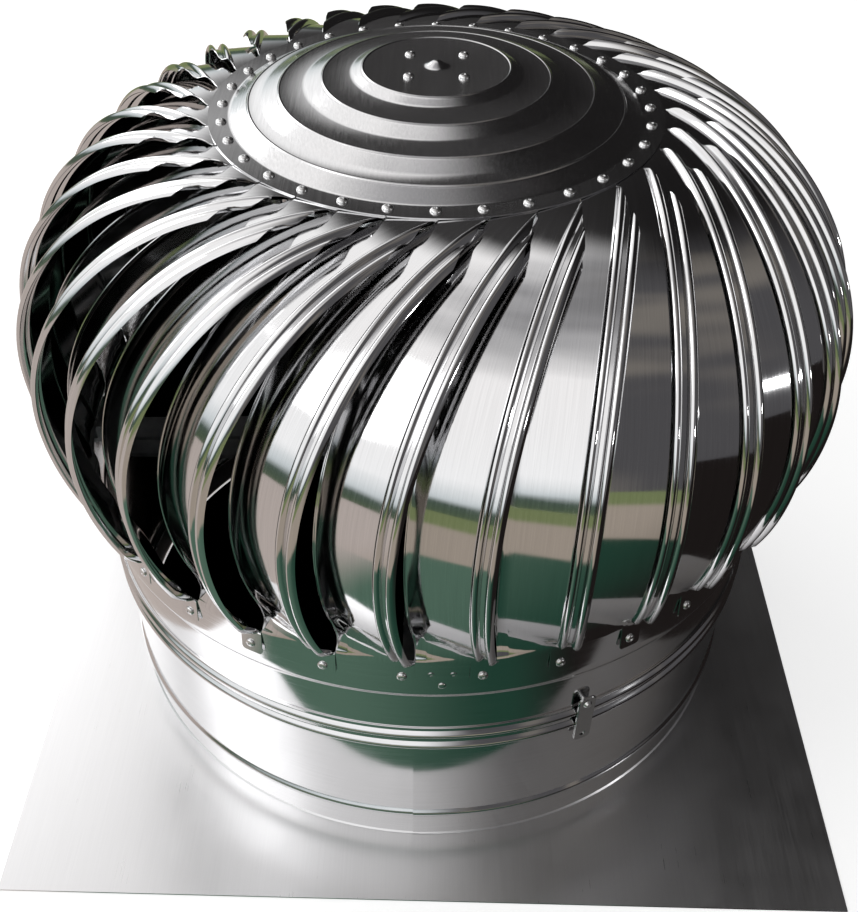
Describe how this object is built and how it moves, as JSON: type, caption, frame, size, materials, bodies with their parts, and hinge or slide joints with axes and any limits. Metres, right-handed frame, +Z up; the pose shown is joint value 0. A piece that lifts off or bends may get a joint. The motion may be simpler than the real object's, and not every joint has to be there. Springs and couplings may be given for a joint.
{
  "type": "roof turbine ventilator",
  "caption": "Wind-driven roof ventilator: square flashing plate, round neck with a clamp band, and a round head of curved vanes that turns on a fixed shaft.",
  "frame": {"origin": "middle of the flashing plate's underside, on the head's axis, on the roof surface", "axes": "+Z up along the shaft; +X and +Y square to the plate's edges; -Y is the side that shows the band's clip"},
  "size_m": [0.615, 0.615, 0.4691],
  "materials": {
    "plate_sheet": "satin stainless sheet",
    "neck_sheet": "bright rolled stainless sheet",
    "band_sheet": "bright rolled stainless strip",
    "vane_sheet": "mirror-polished stainless sheet with a fine vertical grain",
    "crown_sheet": "pressed stainless sheet with a spun sheen",
    "rivet_metal": "bright rivet heads",
    "cross_steel": "zinc-plated flat bar",
    "shaft_steel": "ground round bar",
    "bearing_steel": "ground bearing steel",
    "seal_rubber": "black nitrile",
    "cage_plastic": "natural polyamide",
    "housing_alloy": "turned aluminium"
  },
  "bodies": {
    "base": {"base_plate": "plate_sheet", "lower_neck": "neck_sheet", "upper_neck": "neck_sheet", "joint_band": "band_sheet", "band_clip": "band_sheet", "clip_screw": "rivet_metal", "fixed_cross": "cross_steel", "cross_rivets": "rivet_metal", "shaft": "shaft_steel", "shaft_nuts": "cross_steel", "shaft_washers": "cross_steel", "spacer_sleeve": "shaft_steel", "lower_bearing_inner_ring": "bearing_steel", "upper_bearing_inner_ring": "bearing_steel"},
    "rotor": {"crown": "crown_sheet", "rim_rivets": "rivet_metal", "centre_rivets": "rivet_metal", "upper_housing": "housing_alloy", "upper_bearing_outer_ring": "bearing_steel", "upper_bearing_seals": "seal_rubber", "upper_ball_cage": "cage_plastic", "rotor_ring": "neck_sheet", "foot_rivets": "rivet_metal", "turning_cross": "cross_steel", "spider_rivets": "rivet_metal", "lower_bearing_outer_ring": "bearing_steel", "lower_bearing_seals": "seal_rubber", "lower_ball_cage": "cage_plastic", "blade_01": "vane_sheet", "blade_02": "vane_sheet", "blade_03": "vane_sheet", "blade_04": "vane_sheet", "blade_05": "vane_sheet", "blade_06": "vane_sheet", "blade_07": "vane_sheet", "blade_08": "vane_sheet", "blade_09": "vane_sheet", "blade_10": "vane_sheet", "blade_11": "vane_sheet", "blade_12": "vane_sheet", "blade_13": "vane_sheet", "blade_14": "vane_sheet", "blade_15": "vane_sheet", "blade_16": "vane_sheet", "blade_17": "vane_sheet", "blade_18": "vane_sheet", "blade_19": "vane_sheet", "blade_20": "vane_sheet", "blade_21": "vane_sheet", "blade_22": "vane_sheet", "blade_23": "vane_sheet", "blade_24": "vane_sheet", "blade_25": "vane_sheet", "blade_26": "vane_sheet", "blade_27": "vane_sheet", "blade_28": "vane_sheet", "blade_29": "vane_sheet", "blade_30": "vane_sheet", "blade_31": "vane_sheet", "blade_32": "vane_sheet"}
  },
  "joints": [
    {"name": "rotor_spin", "type": "hinge", "parent": "base", "child": "rotor", "pos_m": [0, 0, 0.3], "axis": [0, 0, 1], "continuous": true}
  ]
}
